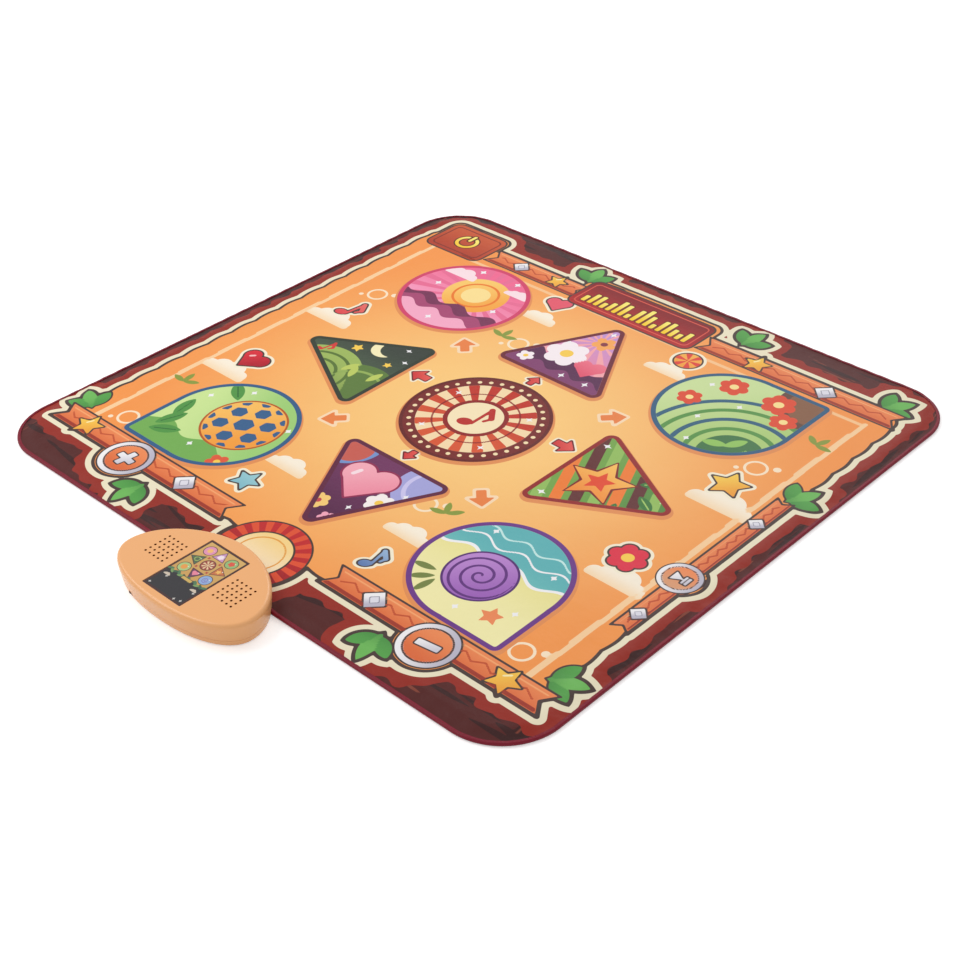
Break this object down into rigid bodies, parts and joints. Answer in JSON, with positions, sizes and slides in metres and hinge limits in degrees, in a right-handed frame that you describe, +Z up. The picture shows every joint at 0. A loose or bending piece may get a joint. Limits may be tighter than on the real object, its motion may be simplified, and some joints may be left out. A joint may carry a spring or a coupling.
{
  "type": "electronic dance mat",
  "caption": "Foldable floor mat with printed step zones that press down, a sewn edge binding, and a battery-powered control console with a display and speakers on one edge.",
  "frame": {"origin": "middle of the mat's underside, on the plane that it rests on; the console is left out of the middle", "axes": "+Z up from the floor; +Y from the console's edge to the far edge; +X to the right of someone who faces the mat over the console"},
  "size_m": [0.92, 0.964, 0.031],
  "materials": {
    "cover": "printed flexible vinyl, semi-gloss, slightly rippled",
    "binding": "sewn polyester tape, maroon",
    "base_fabric": "non-slip dotted fabric",
    "foam": "thin sponge sheet",
    "film": "clear film with printed conductors",
    "spacer": "perforated sponge sheet",
    "shell": "moulded plastic, satin, tan",
    "steel": "zinc-plated",
    "window": "clear lens with a print behind it",
    "score": "dark smoked display",
    "board": "green solder mask",
    "speaker_metal": "dull plated",
    "speaker_paper": "black paper",
    "cell": "plain printed sleeve",
    "contact": "nickel-plated",
    "black_plastic": "matte black"
  },
  "bodies": {
    "middle_section": {"middle_base_fabric": "base_fabric", "middle_foam_pad": "foam", "middle_circuit_film": "film", "middle_spacer_sheet": "spacer", "middle_cover_sheet": "cover", "middle_left_binding": "binding", "middle_right_binding": "binding"},
    "far_section": {"far_base_fabric": "base_fabric", "far_foam_pad": "foam", "far_circuit_film": "film", "far_spacer_sheet": "spacer", "far_cover_sheet": "cover", "far_binding": "binding"},
    "near_section": {"near_base_fabric": "base_fabric", "near_foam_pad": "foam", "near_circuit_film": "film", "near_spacer_sheet": "spacer", "near_cover_sheet": "cover", "near_left_binding": "binding", "near_right_binding": "binding", "console_top_shell": "shell", "console_bottom_shell": "shell", "near_left_screw": "steel", "near_right_screw": "steel", "far_left_screw": "steel", "far_right_screw": "steel", "display_window": "window", "score_display": "score", "display_board": "board", "main_board": "board", "circuit_tail": "film", "left_speaker_frame": "speaker_metal", "left_speaker_cone": "speaker_paper", "right_speaker_frame": "speaker_metal", "right_speaker_cone": "speaker_paper", "near_battery": "cell", "middle_battery": "cell", "far_battery": "cell", "left_battery_contact": "contact", "right_battery_contact": "contact", "switch_body": "black_plastic"},
    "step_far_left": {"step_far_left": "cover"},
    "step_far_middle": {"step_far_middle": "cover"},
    "step_far_right": {"step_far_right": "cover"},
    "step_middle_left": {"step_middle_left": "cover"},
    "step_centre": {"step_centre": "cover"},
    "step_middle_right": {"step_middle_right": "cover"},
    "step_near_left": {"step_near_left": "cover"},
    "step_near_middle": {"step_near_middle": "cover"},
    "step_near_right": {"step_near_right": "cover"},
    "plus_zone": {"plus_zone": "cover"},
    "minus_zone": {"minus_zone": "cover"},
    "play_zone": {"play_zone": "cover"},
    "start_zone": {"start_zone": "cover"},
    "battery_door": {"battery_door": "shell", "battery_door_screw": "steel"},
    "switch_knob": {"switch_knob": "shell"}
  },
  "joints": [
    {"name": "far_fold", "type": "hinge", "parent": "middle_section", "child": "far_section", "pos_m": [0, 0.118, 0.00775], "axis": [1, 0, 0], "range_deg": [0, 180]},
    {"name": "near_fold", "type": "hinge", "parent": "middle_section", "child": "near_section", "pos_m": [0, -0.118, -0.00015], "axis": [1, 0, 0], "range_deg": [0, 180]},
    {"name": "press_far_left", "type": "slide", "parent": "far_section", "child": "step_far_left", "axis": [0, 0, -1], "range_m": [0, 0.0012], "stiffness_N_per_m": 8000},
    {"name": "press_far_middle", "type": "slide", "parent": "far_section", "child": "step_far_middle", "axis": [0, 0, -1], "range_m": [0, 0.0012], "stiffness_N_per_m": 8000},
    {"name": "press_far_right", "type": "slide", "parent": "far_section", "child": "step_far_right", "axis": [0, 0, -1], "range_m": [0, 0.0012], "stiffness_N_per_m": 8000},
    {"name": "press_middle_left", "type": "slide", "parent": "middle_section", "child": "step_middle_left", "axis": [0, 0, -1], "range_m": [0, 0.0012], "stiffness_N_per_m": 8000},
    {"name": "press_centre", "type": "slide", "parent": "middle_section", "child": "step_centre", "axis": [0, 0, -1], "range_m": [0, 0.0012], "stiffness_N_per_m": 8000},
    {"name": "press_middle_right", "type": "slide", "parent": "middle_section", "child": "step_middle_right", "axis": [0, 0, -1], "range_m": [0, 0.0012], "stiffness_N_per_m": 8000},
    {"name": "press_near_left", "type": "slide", "parent": "near_section", "child": "step_near_left", "axis": [0, 0, -1], "range_m": [0, 0.0012], "stiffness_N_per_m": 8000},
    {"name": "press_near_middle", "type": "slide", "parent": "near_section", "child": "step_near_middle", "axis": [0, 0, -1], "range_m": [0, 0.0012], "stiffness_N_per_m": 8000},
    {"name": "press_near_right", "type": "slide", "parent": "near_section", "child": "step_near_right", "axis": [0, 0, -1], "range_m": [0, 0.0012], "stiffness_N_per_m": 8000},
    {"name": "press_plus", "type": "slide", "parent": "near_section", "child": "plus_zone", "axis": [0, 0, -1], "range_m": [0, 0.0012], "stiffness_N_per_m": 1500},
    {"name": "press_minus", "type": "slide", "parent": "near_section", "child": "minus_zone", "axis": [0, 0, -1], "range_m": [0, 0.0012], "stiffness_N_per_m": 1500},
    {"name": "press_play", "type": "slide", "parent": "middle_section", "child": "play_zone", "axis": [0, 0, -1], "range_m": [0, 0.0012], "stiffness_N_per_m": 1000},
    {"name": "press_start", "type": "slide", "parent": "far_section", "child": "start_zone", "axis": [0, 0, -1], "range_m": [0, 0.0012], "stiffness_N_per_m": 2500},
    {"name": "door_swing", "type": "hinge", "parent": "near_section", "child": "battery_door", "pos_m": [0.0085, -0.45255, 0.0003], "axis": [1, 0, 0], "range_deg": [0, 60]},
    {"name": "switch_slide", "type": "slide", "parent": "near_section", "child": "switch_knob", "axis": [0.9702, -0.2422, 0], "range_m": [0, 0.003]}
  ]
}
